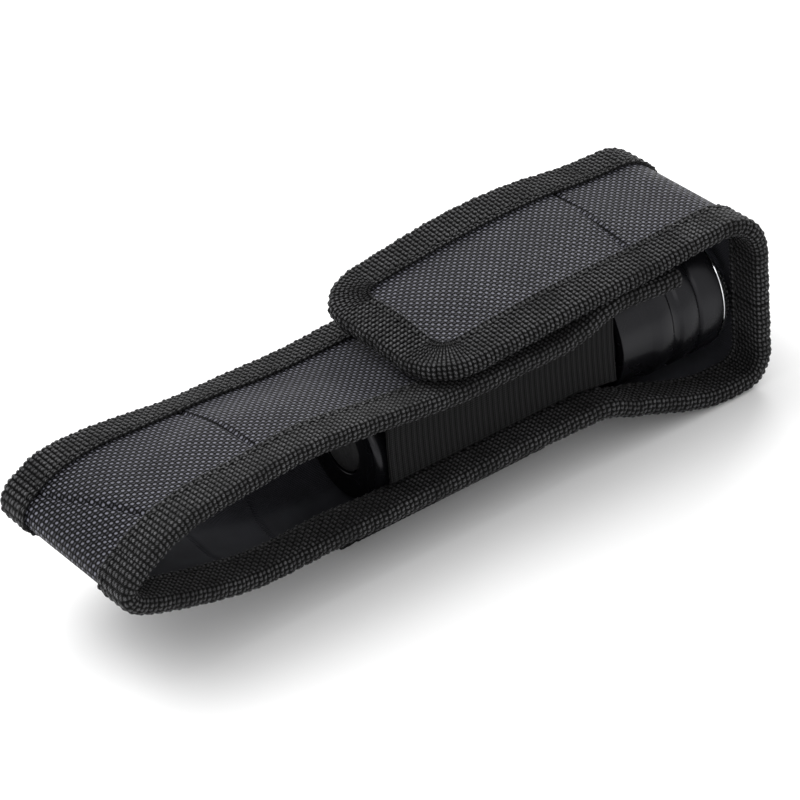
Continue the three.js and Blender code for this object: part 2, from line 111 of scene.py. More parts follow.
# ---- procedural materials ----
class Nodes:
    """A short way to write a node tree. Each call adds a node and returns its output."""

    def __init__(self, name):
        self.material = bpy.data.materials.new(name)
        self.material.use_nodes = True
        self.tree = self.material.node_tree
        self.tree.nodes.clear()
        self.shader = self.tree.nodes.new("ShaderNodeBsdfPrincipled")
        output = self.tree.nodes.new("ShaderNodeOutputMaterial")
        self.tree.links.new(self.shader.outputs[0], output.inputs[0])

    def put(self, socket, value):
        if isinstance(value, bpy.types.NodeSocket):
            self.tree.links.new(value, socket)
        elif value is not None:
            socket.default_value = value

    def math(self, operation, a, b=None):
        node = self.tree.nodes.new("ShaderNodeMath")
        node.operation = operation
        self.put(node.inputs[0], a)
        self.put(node.inputs[1], b)
        return node.outputs[0]

    def uv(self, name="strip"):
        node = self.tree.nodes.new("ShaderNodeUVMap")
        node.uv_map = name
        apart = self.tree.nodes.new("ShaderNodeSeparateXYZ")
        self.tree.links.new(node.outputs[0], apart.inputs[0])
        return apart.outputs[0], apart.outputs[1]

    def place(self):
        return self.tree.nodes.new("ShaderNodeTexCoord").outputs["Object"]

    def noise(self, where, scale, detail=2.0, rough=0.5):
        node = self.tree.nodes.new("ShaderNodeTexNoise")
        self.put(node.inputs["Vector"], where)
        node.inputs["Scale"].default_value = scale
        node.inputs["Detail"].default_value = detail
        node.inputs["Roughness"].default_value = rough
        return node.outputs["Fac"]

    def stretch(self, where, scale):
        node = self.tree.nodes.new("ShaderNodeMapping")
        node.inputs["Scale"].default_value = scale
        self.put(node.inputs["Vector"], where)
        return node.outputs[0]

    def ramp(self, value, low, high, to_low=0.0, to_high=1.0):
        node = self.tree.nodes.new("ShaderNodeMapRange")
        node.interpolation_type = "SMOOTHSTEP"
        self.put(node.inputs["Value"], value)
        limits = {"From Min": low, "From Max": high, "To Min": to_low, "To Max": to_high}
        for name, number in limits.items():
            node.inputs[name].default_value = number
        return node.outputs[0]

    def mix(self, factor, a, b):
        node = self.tree.nodes.new("ShaderNodeMix")
        node.data_type = "RGBA"
        self.put(node.inputs[0], factor)
        self.put(node.inputs[6], a if isinstance(a, bpy.types.NodeSocket) else (*a, 1))
        self.put(node.inputs[7], b if isinstance(b, bpy.types.NodeSocket) else (*b, 1))
        return node.outputs[2]

    def bump(self, height, distance, strength=1.0):
        node = self.tree.nodes.new("ShaderNodeBump")
        node.inputs["Strength"].default_value = strength
        node.inputs["Distance"].default_value = distance
        self.put(node.inputs["Height"], height)
        self.tree.links.new(node.outputs[0], self.shader.inputs["Normal"])

    def set(self, **values):
        for name, value in values.items():
            if isinstance(value, tuple) and len(value) == 3:
                value = (*value, 1)
            self.put(self.shader.inputs[name.replace("_", " ")], value)


def grey(level, blue=0.0):
    """A dark neutral from its sRGB level, 0 to 255, with a little blue."""
    linear = ((level / 255 + 0.055) / 1.055) ** 2.4
    return (linear, linear, linear * (1 + blue))


def hump(n, position):
    """A rounded thread across each unit of position, from 0 at its edges to 1."""
    return n.math("SINE", n.math("MULTIPLY", n.math("FRACT", position), math.pi))


def plain_weave(n, pitch_u, pitch_v, shift_v=0.0):
    """Height and colour weight of a plain weave: threads along u and along v pass over by turns.
    The last value is a painted highlight: each thread is painted lit along the slant of its twisted yarn."""
    u, v = n.uv()
    a = n.math("DIVIDE", u, pitch_u)
    b = n.math("DIVIDE", n.math("ADD", v, shift_v), pitch_v)
    cell = n.math("ADD", n.math("FLOOR", a), n.math("FLOOR", b))
    odd = n.math("ROUND", n.math("MULTIPLY", n.math("FRACT", n.math("DIVIDE", cell, 2.0)), 1.99))
    hump_a, hump_b = hump(n, a), hump(n, b)
    soft_a, soft_b = n.math("POWER", hump_a, 0.45), n.math("POWER", hump_b, 0.45)
    along = n.math("MULTIPLY", soft_a, hump_b)
    across = n.math("MULTIPLY", soft_b, hump_a)
    even = n.math("SUBTRACT", 1.0, odd)
    over_u = n.math("MULTIPLY", along, odd)
    over_v = n.math("MULTIPLY", across, even)
    height = n.math("ADD", over_u, n.math("MULTIPLY", over_v, 0.8))
    # painted highlight: a bright streak along the slant of the yarn's twist
    slant = n.math("ABSOLUTE", n.math("SUBTRACT", n.math("FRACT", a), n.math("FRACT", b)))
    twist_glint = n.ramp(slant, 0.12, 0.55, 1.0, 0.15)
    return height, over_u, over_v, twist_glint


def nylon_material():
    n = Nodes("nylon_weave")
    height, over_u, over_v, twist_glint = plain_weave(n, 0.95, 0.95)
    where = n.place()
    patch = n.ramp(n.noise(where, 90, 3), 0.3, 0.7, 0.8, 1.1)
    # painted light: the threads on top are painted lighter, most along their twist, as highlights, and the
    # gaps between them near black as painted shade; patch varies the highlights' strength at random
    threads = n.math("ADD", n.math("MULTIPLY", n.ramp(over_u, 0.4, 0.95), 0.3), n.ramp(over_v, 0.25, 0.8))
    lit = n.math("MULTIPLY", n.math("MULTIPLY", threads, twist_glint), patch)
    colour = n.mix(lit, grey(3, 0.1), grey(106, 0.2))
    n.set(Base_Color=colour, Roughness=n.ramp(n.noise(where, 400, 2), 0.3, 0.7, 0.42, 0.56),
          Sheen_Weight=0.005, Sheen_Roughness=0.4, Sheen_Tint=(0.75, 0.78, 0.9), Specular_IOR_Level=0.08)
    fibre = n.math("MULTIPLY", n.noise(where, 2600, 2), 0.25)
    n.bump(n.math("ADD", height, fibre), 0.32 * MM)
    return n.material


def lining_material():
    n = Nodes("lining_twill")
    u, v = n.uv()
    twill = hump(n, n.math("DIVIDE", n.math("ADD", u, v), 0.62))
    rib = hump(n, n.math("DIVIDE", u, 0.42))
    height = n.math("ADD", twill, n.math("MULTIPLY", rib, 0.4))
    cloud = n.noise(n.place(), 130, 3)
    # painted light: the twill's ridges painted lighter and its grooves darker as painted shade, varied at
    # random by cloud
    weight = n.math("MULTIPLY", n.ramp(height, 0.2, 1.3), n.ramp(cloud, 0.3, 0.7, 0.6, 1.0))
    n.set(Base_Color=n.mix(weight, grey(20, 0.12), grey(52, 0.25)), Roughness=0.85,
          Sheen_Weight=0.04, Sheen_Roughness=0.5, Sheen_Tint=(0.7, 0.75, 0.85), Specular_IOR_Level=0.12)
    n.bump(height, 0.12 * MM)
    return n.material


def tape_material(name, highlight_strength=1.0):
    """Binding tape: coarse picks across it, each made of two fine yarns, with painted light: raised crossings
    and yarns painted lighter as highlights, the gaps near black as painted shade.
    """
    n = Nodes(name)
    height, over_u, over_v, twist_glint = plain_weave(n, RIB, KNOB / 2, KNOB / 4)
    u, v = n.uv()
    yarn = hump(n, n.math("DIVIDE", n.math("ADD", u, v), 0.5))
    cloud = n.ramp(n.noise(n.place(), 160, 3), 0.3, 0.7, 0.5, 1.0)
    # painted highlights on the raised crossings, weaker on the threads across the tape
    bead_highlights = n.math("ADD", n.ramp(over_u, 0.3, 0.9, 0.0, 0.75), n.ramp(over_v, 0.3, 0.9))
    weight = n.math("MULTIPLY", n.math("MULTIPLY", bead_highlights, twist_glint), n.math("MULTIPLY", cloud, highlight_strength))
    # painted shade between the two yarns of each pick
    weight = n.math("MULTIPLY", weight, n.ramp(yarn, 0.2, 0.9, 0.35, 1.0))
    n.set(Base_Color=n.mix(weight, grey(3), grey(104, 0.04)), Roughness=0.5, Sheen_Weight=0.005,
          Sheen_Roughness=0.5, Specular_IOR_Level=0.12)
    relief = n.math("ADD", height, n.math("MULTIPLY", yarn, 0.5))
    n.bump(n.math("ADD", relief, n.math("MULTIPLY", n.noise(n.place(), 3000, 2), 0.3)), 0.4 * MM)
    return n.material


def thread_material():
    n = Nodes("thread")
    twist_glint = n.noise(n.stretch(n.place(), (2500, 2500, 2500)), 1.0, 2)
    # the same noise raises the fibres and paints them lighter: painted highlight on the raised fibres,
    # painted shade between them
    n.set(Base_Color=n.mix(twist_glint, grey(8), grey(34)), Roughness=0.5, Specular_IOR_Level=0.2)
    n.bump(twist_glint, 0.05 * MM)
    return n.material


def elastic_material():
    n = Nodes("elastic_rib")
    u, v = n.uv()
    rib = hump(n, n.math("DIVIDE", u, 1.5))
    knit = n.math("MULTIPLY", hump(n, n.math("DIVIDE", v, 0.55)), hump(n, n.math("DIVIDE", u, 0.5)))
    height = n.math("ADD", n.math("MULTIPLY", rib, 0.6), n.math("MULTIPLY", knit, 0.8))
    # painted light: the raised ribs and knit painted lighter, the hollows between them darker as painted
    # shade
    n.set(Base_Color=n.mix(n.ramp(height, 0.3, 1.4), grey(8), grey(40, 0.05)), Roughness=0.9,
          Sheen_Weight=0.02, Sheen_Roughness=0.5, Specular_IOR_Level=0.1)
    n.bump(height, 0.2 * MM)
    return n.material


def pile_material(name, level):
    n = Nodes(name)
    tuft = n.noise(n.place(), 1800, 3, 0.7)
    # the same noise raises the tufts and paints them lighter: painted highlight on the high tufts, painted
    # shade between them
    n.set(Base_Color=n.mix(n.ramp(tuft, 0.35, 0.7), grey(10), grey(level)), Roughness=0.95,
          Sheen_Weight=0.05, Sheen_Roughness=0.6, Specular_IOR_Level=0.1)
    n.bump(tuft, 0.4 * MM)
    return n.material


def metal_material(name, colour, rough, metallic=1.0, grain=0.0):
    """Turned metal: fine rings about the light's axis and faint handling marks."""
    n = Nodes(name)
    where = n.place()
    rings = n.noise(n.stretch(where, (9000, 150, 150)), 1.0, 3)
    marks = n.noise(where, 60, 4, 0.6)
    base = n.mix(n.ramp(marks, 0.35, 0.75), colour, tuple(c * 1.25 for c in colour))
    n.set(Base_Color=base, Metallic=metallic,
          Roughness=n.ramp(marks, 0.3, 0.7, rough * 0.8, rough * 1.3))
    if grain:
        n.bump(rings, grain * MM)
    return n.material


def coated_material(name, colour, rough, scale=900.0, depth=0.02, coat=0.0):
    """Rubber, plastic or lacquer: a dull skin with a fine grain and slight shade changes."""
    n = Nodes(name)
    where = n.place()
    grain = n.noise(where, scale, 3)
    shade = n.ramp(n.noise(where, 120, 3), 0.3, 0.7, 0.0, 1.0)
    n.set(Base_Color=n.mix(shade, colour, tuple(c * 1.4 for c in colour)), Coat_Weight=coat,
          Roughness=n.ramp(grain, 0.3, 0.7, rough * 0.85, min(1.0, rough * 1.15)))
    n.bump(grain, depth * MM)
    return n.material


def glass_material():
    n = Nodes("glass")
    smear = n.noise(n.place(), 90, 3)
    n.set(Base_Color=(0.96, 0.98, 1.0), Roughness=n.ramp(smear, 0.4, 0.8, 0.0, 0.04),
          Transmission_Weight=1.0, IOR=1.5)
    return n.material


MAT = {
    "nylon": nylon_material(),
    "lining": lining_material(),
    "tape": tape_material("binding_tape"),
    # the webbing's painted highlights are weaker than the binding's
    "webbing": tape_material("webbing", 0.7),
    "thread": thread_material(),
    "elastic": elastic_material(),
    "loop": pile_material("loop_pile", 34),
    "hook": pile_material("hook_pile", 26),
    "anodised": metal_material("anodised", (0.009, 0.009, 0.011), 0.26, 0.6, 0.004),
    "bezel": metal_material("bezel_polish", (0.86, 0.87, 0.89), 0.08, 1.0, 0.002),
    "brass": metal_material("brass_turned", (0.72, 0.52, 0.22), 0.25, 1.0, 0.004),
    "wire": metal_material("drawn_wire", (0.6, 0.61, 0.63), 0.22, 1.0, 0.003),
    "mirror": metal_material("mirror_coat", (0.9, 0.9, 0.92), 0.04, 1.0),
    "cell": metal_material("cell_sleeve", (0.3, 0.32, 0.35), 0.35, 0.7, 0.003),
    "rubber": coated_material("rubber", (0.012, 0.012, 0.013), 0.7, 1500, 0.03),
    "plastic": coated_material("plastic", (0.015, 0.015, 0.017), 0.45),
    "circuit": coated_material("circuit", (0.02, 0.13, 0.06), 0.35, 700, 0.02, 0.5),
    "emitter": coated_material("emitter", (0.85, 0.72, 0.25), 0.15, 900, 0.005, 0.8),
    "glass": glass_material(),
}


# ---- the strip: the path through the middle of the laminate, as in the CAD ----
def line(*points):
    return [("line", a, b) for a, b in zip(points, points[1:])]


def bezier(*points):
    return [("bezier", *points)]


def arc(centre, radius, start, end):
    return [("arc", centre, radius, start, end)]


LOWER = (END_X - LOWER_R, BACK_HEAD_Z + LOWER_R)
UPPER = (END_X - UPPER_R, FLAP_HEAD_Z - UPPER_R)
PATH = (
    line((MOUTH_X, FRONT_HEAD_Z), (50, FRONT_HEAD_Z))
    + bezier((50, FRONT_HEAD_Z), (42, FRONT_HEAD_Z), (38, FRONT_BODY_Z), (30, FRONT_BODY_Z))
    + line((30, FRONT_BODY_Z), (FLAP_END_X, FRONT_BODY_Z))
    + bezier((FLAP_END_X, FRONT_BODY_Z), (-18, FRONT_BODY_Z), (-28, FRONT_TAIL_Z), (-46, FRONT_TAIL_Z))
    + bezier((-46, FRONT_TAIL_Z), (-62, FRONT_TAIL_Z), (-77, 37), (-83.5, 31.5))
    + bezier((-83.5, 31.5), (-89.65, 28.5), (-89.65, 24.5), (-82, 21.8))
    + bezier((-82, 21.8), (-66, 16), (-52, 9), (-34, 7))
    + bezier((-34, 7), (-27, 6.2), (-23, BACK_BODY_Z), (-16, BACK_BODY_Z))
    + line((-16, BACK_BODY_Z), (38, BACK_BODY_Z))
    + bezier((38, BACK_BODY_Z), (45, BACK_BODY_Z), (46, BACK_HEAD_Z), (51, BACK_HEAD_Z))
    + line((51, BACK_HEAD_Z), (LOWER[0], BACK_HEAD_Z))
    + arc(LOWER, LOWER_R, -math.pi / 2, 0)
    + line((END_X, LOWER[1]), (END_X, UPPER[1]))
    + arc(UPPER, UPPER_R, 0, math.pi / 2)
    + bezier((UPPER[0], FLAP_HEAD_Z), (60, FLAP_HEAD_Z), (24, FLAP_HEAD_Z + 0.7), (FLAP_END_X, FLAP_END_Z))
)


def sample(segment, t):
    kind, *data = segment
    t = t[:, None]
    if kind == "line":
        a, b = (np.array(p, float) for p in data)
        return a + (b - a) * t
    if kind == "bezier":
        a, b, c, d = (np.array(p, float) for p in data)
        return a * (1 - t) ** 3 + 3 * b * t * (1 - t) ** 2 + 3 * c * t * t * (1 - t) + d * t ** 3
    centre, radius, start, end = data
    angle = start + (end - start) * t
    return np.hstack([centre[0] + radius * np.cos(angle), centre[1] + radius * np.sin(angle)])


def measure():
    """Points along the whole path, the length up to each, and the length where each segment starts."""
    points, starts = [np.array([PATH[0][1]], float)], [0.0]
    for segment in PATH:
        points.append(sample(segment, np.linspace(0, 1, 81)[1:]))
        joined = np.vstack(points)
        starts.append(float(np.linalg.norm(np.diff(joined, axis=0), axis=1).sum()))
    lengths = np.concatenate([[0], np.cumsum(np.linalg.norm(np.diff(joined, axis=0), axis=1))])
    spare = 5.0                             # the path runs straight on past both ends
    before, after = joined[0] - joined[1], joined[-1] - joined[-2]
    joined = np.vstack([joined[0] + before / np.linalg.norm(before) * spare, joined,
                        joined[-1] + after / np.linalg.norm(after) * spare])
    return joined, np.concatenate([[-spare], lengths, [lengths[-1] + spare]]), starts


POINTS, LENGTHS, STARTS = measure()
TOTAL = STARTS[-1]
S_BACK_HEAD, S_LOWER_FOLD, S_WALL, S_UPPER_FOLD, S_FLAP = STARTS[10:15]
S_WALL_MID = (S_WALL + S_UPPER_FOLD) / 2
S_TAIL = STARTS[5]


def smooth(x, low, high):
    t = np.clip((x - low) / (high - low), 0, 1)
    return t * t * (3 - 2 * t)


def bell(x, middle, width):
    return np.exp(-(((x - middle) / width) ** 2))


def middle_surface(s, y):
    """The middle of the laminate at length s along the path and y across it, in millimetres."""
    x = np.interp(s, LENGTHS, POINTS[:, 0])
    z = np.interp(s, LENGTHS, POINTS[:, 1])
    across = np.abs(y) / RIM
    front = smooth(s, 0, 12) * (1 - smooth(s, S_TAIL - 14, S_TAIL + 4))
    back = smooth(s, S_TAIL + 4, S_TAIL + 20) * (1 - smooth(s, S_BACK_HEAD, S_LOWER_FOLD))
    flap = smooth(s, S_FLAP, S_FLAP + 25)
    wrap = WRAP_LIFT * smooth(x, -80, -18) * (1 - smooth(x, 44, 77)) * smooth(np.abs(y), 4.5, 16)
    z = z + np.where(s > S_TAIL, wrap * (s < S_LOWER_FOLD), 0)
    # the front panel leans, its near side up, where nothing holds it from inside
    z = z - front * 3.2 * bell(x, -38, 34) * y / RIM
    # its sides droop a little behind the light, and the fabric puffs between the tapes
    z = z + front * 1.0 * bell(x, -45, 30) * (0.5 - across ** 2)
    puff = 0.7 * np.cos(np.clip(y / 13.5, -1, 1) * math.pi / 2) ** 2
    z = z + front * puff - back * 0.2 * puff
    # the lid bows over the light, with its far side highest
    z = z + flap * (2.4 * bell(x, 34, 36) * (y / RIM) + 0.7 * bell(x, 30, 30) + puff)
    # the closed tail curls up, most on its far side
    z = z + smooth(-x, 58, 86) * (0.8 + 1.2 * y / RIM)
    # soft fabric isn't quite even
    z = z + 0.22 * np.sin(x / 9.0 + y / 7.0) * (front + flap)
    z = z + 0.15 * np.sin(x / 4.7 - y / 5.0) * (front + back)
    held = front * (1 - smooth(x, 50, 80)) + back * (1 - smooth(x, 28, 48))
    pinch = 1 - 0.045 * smooth(x, -80, -30) * held
    return np.stack([x, y * pinch, z], axis=-1)


def surface(s, y, n=0.0):
    """A point n outside the middle of the laminate."""
    s, y = np.broadcast_arrays(np.asarray(s, float), np.asarray(y, float))
    e = 0.25
    along = middle_surface(s + e, y) - middle_surface(s - e, y)
    side = middle_surface(s, y + e) - middle_surface(s, y - e)
    out = np.cross(side, along)
    out /= np.linalg.norm(out, axis=-1, keepdims=True)
    return middle_surface(s, y) + out * np.asarray(n)[..., None]


# ---- meshes ----
def make_object(name, points, faces, uvs=None):
    """A smooth-shaded piece from points in millimetres. uvs is one (u, v) for each point, in
    millimetres of cloth."""
    mesh = bpy.data.meshes.new(name)
    mesh.from_pydata((np.asarray(points) * MM).tolist(), [], faces)
    mesh.validate()
    if uvs is not None:
        uv_layer = mesh.uv_layers.new(name="strip")
        corners = np.empty(len(mesh.loops), int)
        mesh.loops.foreach_get("vertex_index", corners)
        uv_layer.data.foreach_set("uv", np.asarray(uvs, float)[corners].ravel())
    mesh.polygons.foreach_set("use_smooth", [True] * len(mesh.polygons))
    mesh.update()
    piece = bpy.data.objects.new(name, mesh)
    bpy.context.scene.collection.objects.link(piece)
    return piece


def loop_faces(rings, around):
    """Quads between neighbouring closed rings of points, and a cap on each end."""
    faces = []
    for i in range(rings - 1):
        a, b = i * around, (i + 1) * around
        for j in range(around):
            k = (j + 1) % around
            faces.append((a + j, a + k, b + k, b + j))
    faces.append(tuple(range(around))[::-1])
    faces.append(tuple((rings - 1) * around + j for j in range(around)))
    return faces


SHARP_ANGLE = math.radians(65)


def keep_ends_sharp(piece):
    """Shade the cut ends apart from the faces, so that neighbouring pieces of a strip meet unseen."""
    piece.data.set_sharp_from_angle(angle=SHARP_ANGLE)
    return piece


def dress(piece, material, slot, body=None, blend=None, replaces=()):
    piece.data.materials.append(MAT[material])
    if body:
        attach(piece, body)
    if blend:
        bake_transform(piece)
    if replaces:
        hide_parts(*replaces)
    return piece


# length along the path where each crosses the middle, and how far it leans as it crosses
CREASES = [
    (STARTS[2] - 4, 0.0), (STARTS[4] + 0.8, 0.05), (STARTS[4] + 34.6, 0.38),
    (STARTS[6] + 27.4, 0.16), (STARTS[6] + 46.1, 0.22), (S_FLAP + 20.3, -0.07),
]


def crease(s, y):
    """Shallow folded lines across the fabric, from 0 on the flat to 1 in the fold."""
    return sum(bell(s - lean * y, at, 0.55) for at, lean in CREASES)


LAYER_STEP = 0.5            # between rings of points along a layer
DENT = 0.75                 # depth of a crease


def layer(name, s0, s1, low, high, half, end_round=0.0):
    """A flat layer of the laminate between two heights, as one closed mesh with rounded ends."""
    count = max(4, int((s1 - s0) / LAYER_STEP))
    s = np.linspace(s0, s1, count + 1)
    widths = np.full(count + 1, float(half))
    if end_round:
        inward = np.clip(end_round - (s1 - s), 0, end_round)
        widths = half - (end_round - np.sqrt(np.maximum(end_round ** 2 - inward ** 2, 0)))
    across = np.linspace(-1, 1, 33)
    top_y = across[None, :] * widths[:, None]
    y = np.hstack([top_y, top_y[:, ::-1]])
    sink = DENT * crease(s[:, None], top_y)
    n = np.hstack([high - sink * (high > 0), low + (0 * sink if high > 0 else sink)[:, ::-1]])
    where = np.repeat(s[:, None], y.shape[1], axis=1)
    points = surface(where, y, n).reshape(-1, 3)
    uvs = np.stack([where, y], axis=-1).reshape(-1, 2)
    return keep_ends_sharp(make_object(name, points, loop_faces(count + 1, y.shape[1]), uvs))


def tape_profile(points=26):
    """The folded tape's section as (inward, height) pairs, closed, starting on top at its inner edge."""
    top, gap = TAPE_OUT, 1.45
    outer = [(TAPE_W - (TAPE_W - 1.6) * t, top) for t in np.linspace(0, 1, points)]
    bend = [(1.6 - 1.6 * math.sin(a), top * math.cos(a)) for a in np.linspace(0, math.pi, 13)[1:-1]]
    under = [(1.6 + (TAPE_W - 1.6) * t, -top) for t in np.linspace(0, 1, points)]
    inside = [(TAPE_W, -gap), (0.9, -gap), (0.9, gap), (TAPE_W, gap)]
    return np.array(outer + bend + under + inside), points * 2 + 11


def tape(name, route, inward):
    """Folded tape along a route of (s, y) points, whose section reaches along inward. Its picks stand
    out as real ribs, so the edge of the tape is serrated."""
    profile, outside = tape_profile()
    lengths = np.concatenate([[0], np.cumsum(np.linalg.norm(np.diff(route, axis=0), axis=1))])
    steps = max(STEPS, round(lengths[-1] / RIB * STEPS))
    at = np.linspace(0, lengths[-1], steps + 1)
    ribs = np.arange(steps + 1)[:, None] / STEPS
    centre = np.stack([np.interp(at, lengths, route[:, i]) for i in (0, 1)], axis=-1)
    reach = np.stack([np.interp(at, lengths, inward[:, i]) for i in (0, 1)], axis=-1)
    reach /= np.linalg.norm(reach, axis=1, keepdims=True)
    depth, height = profile[:, 0], profile[:, 1]
    run = np.concatenate([[0], np.cumsum(np.linalg.norm(np.diff(profile, axis=0), axis=1))])
    rib = np.abs(np.sin(math.pi * ribs))
    knob = 0.5 + 0.5 * np.cos(run[None, :] * 2 * math.pi / KNOB + math.pi * np.floor(ribs))
    skin = np.zeros(len(profile))
    skin[:outside] = 1
    amount = (0.26 * rib ** 0.7 + 0.26 * knob * rib - 0.3) * skin[None, :]
    sew = -0.35 * np.exp(-(((depth - (TAPE_W - SEAM_IN)) / 0.5) ** 2)) * skin
    amount = amount + sew[None, :] * (0.7 + 0.3 * np.cos(at[:, None] * 2 * math.pi / STITCH_PITCH))
    edge = np.exp(-((depth / 1.2) ** 2))
    wobble = 0.12 * np.sin(at * 0.9) + 0.1 * np.sin(at * 2.3 + 1)
    d = depth[None, :] - amount * edge[None, :] + wobble[:, None] * edge[None, :]
    h = height[None, :] * (1 + amount * (1 - 0.6 * edge[None, :]) / TAPE_OUT)
    s = centre[:, None, 0] + reach[:, None, 0] * d
    y = centre[:, None, 1] + reach[:, None, 1] * d
    points = surface(s, y, h)
    uvs = np.stack(np.broadcast_arrays(ribs * RIB, run[None, :]), axis=-1)
    faces = loop_faces(steps + 1, len(profile))
    return keep_ends_sharp(make_object(name, points.reshape(-1, 3), faces, uvs.reshape(-1, 2)))


def straight_route(s0, s1, side):
    s = np.linspace(s0, s1, max(2, int((s1 - s0) / 2)))
    route = np.stack([s, np.full_like(s, side * RIM)], axis=-1)
    inward = np.tile([0.0, -side], (len(s), 1))
    return route, inward


def rounded_end_route(s0, s1, radius):
    """Along one edge of the lid, round its free end and back along the other edge."""
    corner = np.linspace(0, math.pi / 2, 14)
    left = [(s, RIM, 0, -1) for s in np.linspace(s0, s1 - radius, 40)]
    for a in corner[1:]:
        out, up = math.sin(a), math.cos(a)
        left.append((s1 - radius + radius * out, RIM - radius + radius * up, -out, -up))
    right = [(s, -y, ds, -dy) for s, y, ds, dy in left[::-1]]
    rows = np.array(left + right)
    return rows[:, :2], rows[:, 2:]


def stitches(name, route, inward, offset):
    """Loops of thread along a seam: short round stitches that dip into the tape at both ends."""
    lengths = np.concatenate([[0], np.cumsum(np.linalg.norm(np.diff(route, axis=0), axis=1))])
    length, radius, around, rings = 2.3, 0.21, 6, 7
    points, all_faces = [], []
    for face in (1, -1):
        for start in np.arange(0.6, lengths[-1] - length, STITCH_PITCH):
            at = start + length * np.linspace(0, 1, rings)
            centre = np.stack([np.interp(at, lengths, route[:, i]) for i in (0, 1)], axis=-1)
            reach = np.stack([np.interp(at, lengths, inward[:, i]) for i in (0, 1)], axis=-1)
            t = np.linspace(0, 1, rings)
            height = TAPE_OUT - 0.42 + 0.5 * np.sin(math.pi * t)
            thick = radius * (0.35 + 0.65 * np.sin(math.pi * t) ** 0.5)
            ring = []
            for k in range(around):
                a = 2 * math.pi * k / around
                side = offset + thick * math.cos(a)
                s = centre[:, 0] + reach[:, 0] * side
                y = centre[:, 1] + reach[:, 1] * side
                ring.append(surface(s, y, face * (height + thick * math.sin(a))))
            base = sum(len(p) for p in points)
            block = np.stack(ring, axis=1).reshape(-1, 3)
            points.append(block)
            order = loop_faces(rings, around)
            if face < 0:
                order = [f[::-1] for f in order]
            all_faces += [tuple(base + i for i in f) for f in order]
    return make_object(name, np.vstack(points), all_faces)


# ---- pouch ----
def lower_blend():
    return ("pouch", "end_wall", (82.5 * MM, 0, 3 * MM), (94 * MM, 0, 13 * MM))


def upper_blend():
    top = FLAP_HEAD_Z
    return ("end_wall", "flap", (92 * MM, 0, (top - 6.5) * MM), (80 * MM, 0, (top + 4) * MM))


SHELL = (-0.45, HALF_T)
LINING = (-HALF_T, -0.6)
FIELD = 21.8
STRETCHES = [
    ("body", 0.8, S_BACK_HEAD + 22, {"body": "pouch"}),
    ("lower_corner", S_BACK_HEAD + 22, S_WALL_MID, {"blend": lower_blend()}),
    ("upper_corner", S_WALL_MID, S_FLAP + 10, {"blend": upper_blend()}),
    ("flap", S_FLAP + 10, TOTAL - 0.8, {"body": "flap"}),
]
STANDS_FOR = {
    "body": {"shell": ["body_shell"], "lining": ["body_lining"], "left": ["body_binding_left"],
             "right": ["body_binding_right"]},
    "lower_corner": {"shell": ["end_wall_shell"], "lining": ["end_wall_lining"],
                     "left": ["end_wall_binding_left"], "right": ["end_wall_binding_right"]},
    "upper_corner": {"shell": [], "lining": [], "left": [], "right": []},
    "flap": {"shell": ["flap_shell"], "lining": ["flap_lining"], "around": ["flap_binding"]},
}
FLAP_ROUND = 13.0


def add_strip():
    for name, s0, s1, move in STRETCHES:
        stands = STANDS_FOR[name]
        rounding = FLAP_ROUND - 1.5 if name == "flap" else 0.0
        shell = layer(f"{name}_nylon", s0, s1, *SHELL, FIELD, end_round=rounding)
        dress(shell, "nylon", "nylon", replaces=stands["shell"], **move)
        lining = layer(f"{name}_twill", s0, s1, *LINING, FIELD, end_round=rounding)
        dress(lining, "lining", "lining", replaces=stands["lining"], **move)
        if name == "flap":
            route, inward = rounded_end_route(s0, TOTAL, FLAP_ROUND)
            add_tape("flap_tape", route, inward, stands["around"], move)
            continue
        for word, side in (("left", 1), ("right", -1)):
            start = 0.0 if name == "body" else s0
            route, inward = straight_route(start, s1, side)
            add_tape(f"{name}_tape_{word}", route, inward, stands[word], move)
    route = np.array([(0.0, y) for y in np.linspace(-13.6, 13.6, 20)])
    inward = np.tile([1.0, 0.0], (20, 1))
    add_tape("mouth_tape", route, inward, ["mouth_binding"], {"body": "pouch"})


def add_tape(name, route, inward, stands, move):
    dress(tape(name, route, inward), "tape", "binding", replaces=stands, **move)
    dress(stitches(f"{name}_stitches", route, inward, TAPE_W - SEAM_IN), "thread", "binding", **move)


add_strip()


# ---- elastic, belt loop, hook and loop ----
def grid_slab(name, top, bottom, uv):
    """A closed slab from two equal grids of points, top and bottom."""
    rows, columns = top.shape[:2]
    ring = np.concatenate([top, bottom[:, ::-1]], axis=1)
    uvs = np.concatenate([uv, uv[:, ::-1]], axis=1)
    return make_object(name, ring.reshape(-1, 3), loop_faces(rows, columns * 2), uvs.reshape(-1, 2))


def add_elastic(word, side):
    """Ribbed elastic between the panels, beside the light."""
    x = np.linspace(-14, 50, 240)
    t = np.linspace(0, 1, 26)
    low = np.interp(x, [-14, 38, 50], [16.3, 16.3, 14.3])
    high = np.interp(x, [-14, 32, 50], [32.2, 32.2, 34.0])
    grid_x = np.repeat(x[:, None], len(t), 1)
    z = low[:, None] + (high - low)[:, None] * t[None, :]
    waist = 0.35 * np.sin(math.pi * t)[None, :] * np.ones_like(grid_x)
    rib = 0.12 * np.abs(np.sin(math.pi * grid_x / 1.5))
    outer = np.stack([grid_x, side * (ELASTIC_Y + 0.95 + rib - waist), z], axis=-1)
    inner = np.stack([grid_x, side * (ELASTIC_Y + 0.35 - waist * 0.6), z], axis=-1)
    if side > 0:
        outer, inner = inner, outer
    uv = np.stack([grid_x, z], axis=-1)
    piece = grid_slab(f"elastic_{word}_rib", inner, outer, uv)
    dress(piece, "elastic", "elastic", body="pouch", replaces=[f"elastic_{word}"])


